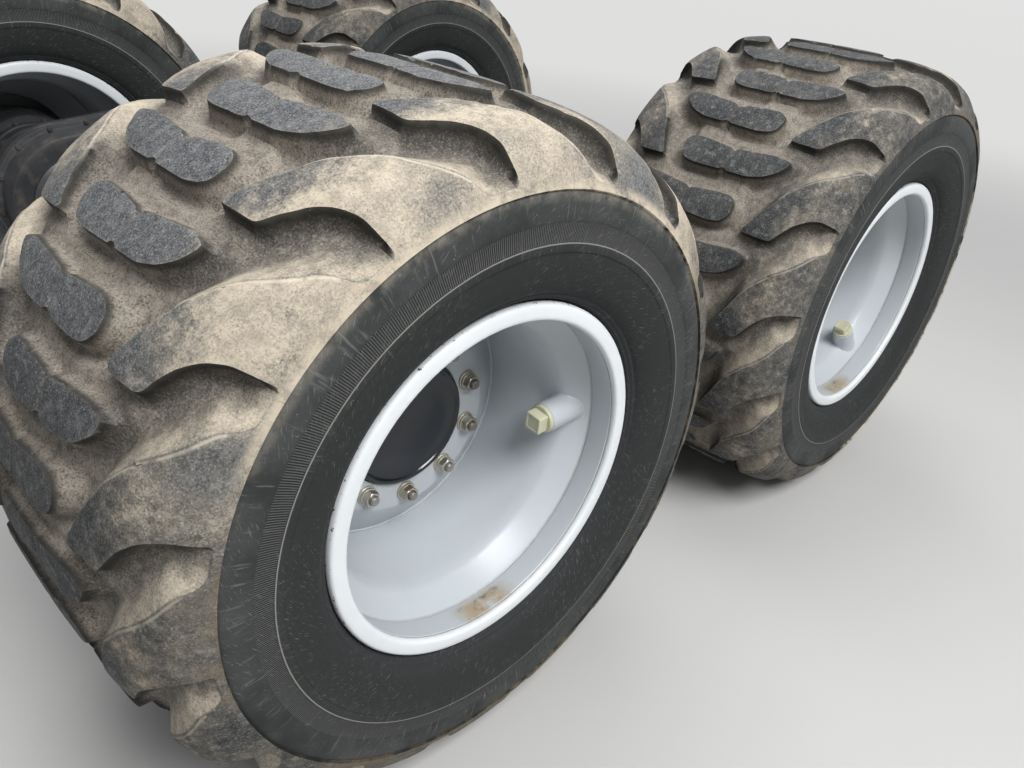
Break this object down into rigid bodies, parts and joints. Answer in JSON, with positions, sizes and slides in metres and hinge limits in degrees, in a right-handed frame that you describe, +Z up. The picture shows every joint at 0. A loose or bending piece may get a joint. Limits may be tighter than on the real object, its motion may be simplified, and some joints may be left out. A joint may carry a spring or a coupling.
{
  "type": "forestry forwarder bogie axle",
  "caption": "Tandem bogie axle of a forestry forwarder on wide lugged flotation tyres, with rocking gear casings, deep-dished rims and frame pads.",
  "frame": {"origin": "on the ground, midway between the four wheels", "axes": "+X the direction of travel, +Y the vehicle's left, +Z up"},
  "size_m": [2.9398, 2.9, 1.35],
  "materials": {
    "tyre_rubber": "worn matt rubber with tan dust in the tread",
    "rim_paint": "light grey satin paint",
    "hub_gloss_black": "gloss black",
    "black_casting": "black paint on cast steel",
    "black_machined": "black paint on machined covers",
    "bare_steel": "oiled steel",
    "plated_steel": "zinc-nickel plated, slightly warm",
    "plug_plastic": "cream plastic plug on a painted steel boss"
  },
  "bodies": {
    "axle": {"axle_housing": "black_casting", "rear_cover": "black_casting", "differential_carrier": "black_casting", "frame_pad_left": "black_casting", "frame_pad_right": "black_casting", "pivot_ring_left": "black_machined", "pivot_ring_right": "black_machined"},
    "drive_flange": {"drive_flange": "bare_steel"},
    "bogie_left": {"gear_casing_left": "black_casting", "pivot_cover_left": "black_machined", "casing_covers_left": "black_machined", "spindle_front_left": "black_casting", "spindle_rear_left": "black_casting"},
    "bogie_right": {"gear_casing_right": "black_casting", "pivot_cover_right": "black_machined", "casing_covers_right": "black_machined", "spindle_front_right": "black_casting", "spindle_rear_right": "black_casting"},
    "wheel_front_left": {"hub_front_left": "black_casting", "hub_cover_front_left": "hub_gloss_black", "rim_front_left": "rim_paint", "tyre_front_left": "tyre_rubber", "wheel_nuts_front_left": "plated_steel", "inflation_plug_front_left": "plug_plastic"},
    "wheel_rear_left": {"hub_rear_left": "black_casting", "hub_cover_rear_left": "hub_gloss_black", "rim_rear_left": "rim_paint", "tyre_rear_left": "tyre_rubber", "wheel_nuts_rear_left": "plated_steel", "inflation_plug_rear_left": "plug_plastic"},
    "wheel_front_right": {"hub_front_right": "black_casting", "hub_cover_front_right": "hub_gloss_black", "rim_front_right": "rim_paint", "tyre_front_right": "tyre_rubber", "wheel_nuts_front_right": "plated_steel", "inflation_plug_front_right": "plug_plastic"},
    "wheel_rear_right": {"hub_rear_right": "black_casting", "hub_cover_rear_right": "hub_gloss_black", "rim_rear_right": "rim_paint", "tyre_rear_right": "tyre_rubber", "wheel_nuts_rear_right": "plated_steel", "inflation_plug_rear_right": "plug_plastic"}
  },
  "joints": [
    {"name": "drive_flange_turn", "type": "hinge", "parent": "axle", "child": "drive_flange", "pos_m": [0.44, 0, 0.745], "axis": [1, 0, 0], "continuous": true},
    {"name": "bogie_left_swing", "type": "hinge", "parent": "axle", "child": "bogie_left", "pos_m": [0, 0.562, 0.745], "axis": [0, 1, 0], "range_deg": [-18, 18]},
    {"name": "bogie_right_swing", "type": "hinge", "parent": "axle", "child": "bogie_right", "pos_m": [0, -0.562, 0.745], "axis": [0, 1, 0], "range_deg": [-18, 18]},
    {"name": "wheel_front_left_roll", "type": "hinge", "parent": "bogie_left", "child": "wheel_front_left", "pos_m": [0.795, 1.075, 0.675], "axis": [0, 1, 0], "continuous": true},
    {"name": "wheel_rear_left_roll", "type": "hinge", "parent": "bogie_left", "child": "wheel_rear_left", "pos_m": [-0.795, 1.075, 0.675], "axis": [0, 1, 0], "continuous": true},
    {"name": "wheel_front_right_roll", "type": "hinge", "parent": "bogie_right", "child": "wheel_front_right", "pos_m": [0.795, -1.075, 0.675], "axis": [0, 1, 0], "continuous": true},
    {"name": "wheel_rear_right_roll", "type": "hinge", "parent": "bogie_right", "child": "wheel_rear_right", "pos_m": [-0.795, -1.075, 0.675], "axis": [0, 1, 0], "continuous": true}
  ]
}
